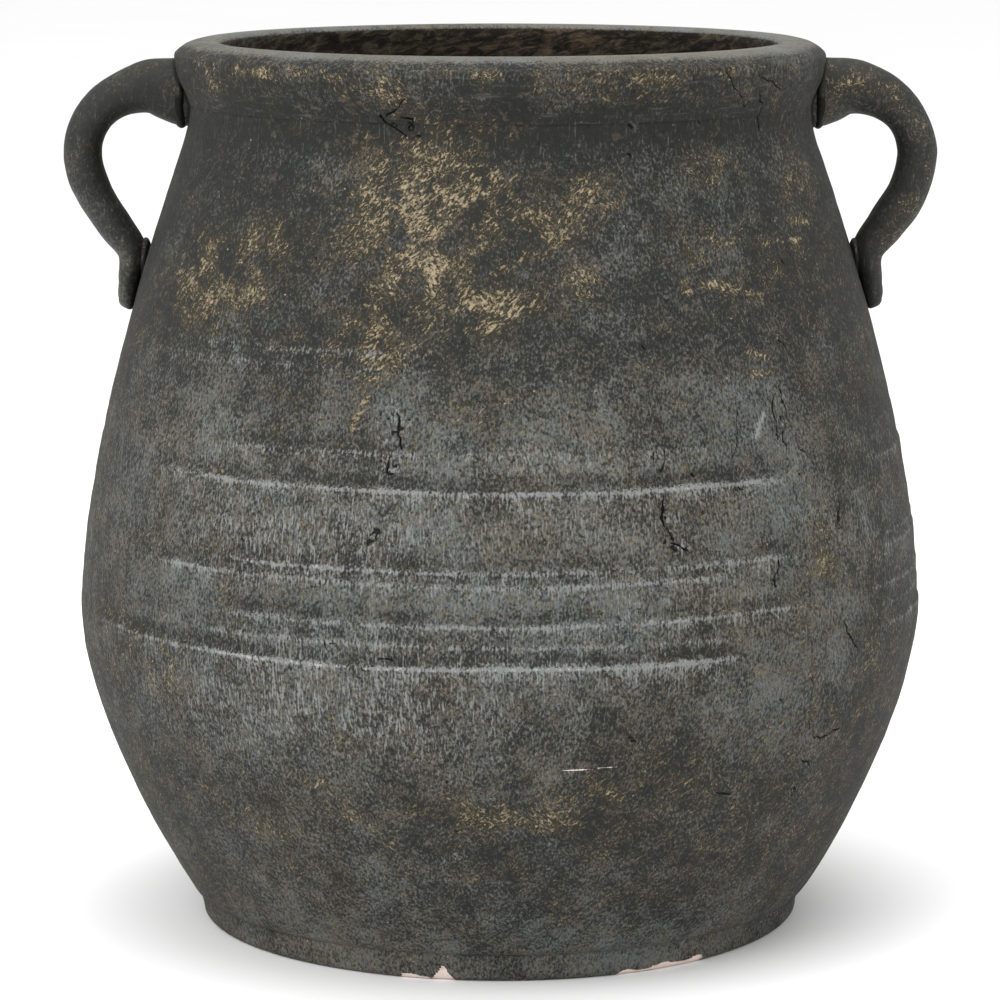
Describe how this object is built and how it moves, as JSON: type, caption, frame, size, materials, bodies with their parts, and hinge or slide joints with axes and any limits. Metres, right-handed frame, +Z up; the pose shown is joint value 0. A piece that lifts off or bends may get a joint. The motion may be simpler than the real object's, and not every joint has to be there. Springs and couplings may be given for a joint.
{
  "type": "two-handled clay pot",
  "caption": "Round-bellied black clay pot with a thick rim collar, a flat foot and small loop handles luted high on its sides.",
  "frame": {"origin": "centre of the flat foot, on the floor the pot stands on", "axes": "+Z up the pot axis, X through both handles (handle_right at +X), front of the pot towards -Y"},
  "size_m": [0.2956, 0.2866, 0.3],
  "materials": {
    "slab_clay": "matte smoked black clay, trimmed edge",
    "lower_wall_clay": "matte smoked black clay with pale dry-brushed streaks",
    "belly_wall_clay": "matte smoked black clay with pale ridges",
    "shoulder_wall_clay": "matte smoked black clay with ochre wear",
    "collar_clay": "satin smoked black clay, ochre wear on the ridge",
    "handle_left_clay": "satin smoked black clay",
    "handle_right_clay": "satin smoked black clay",
    "luting_clay": "matte pale olive clay"
  },
  "bodies": {
    "root": {"base_slab": "slab_clay", "lower_wall": "lower_wall_clay", "belly_wall": "belly_wall_clay", "shoulder_wall": "shoulder_wall_clay", "rim_collar": "collar_clay", "handle_left": "handle_left_clay", "handle_right": "handle_right_clay", "root_lute_left": "luting_clay", "root_lute_right": "luting_clay", "tail_lute_left": "luting_clay", "tail_lute_right": "luting_clay"}
  },
  "joints": []
}
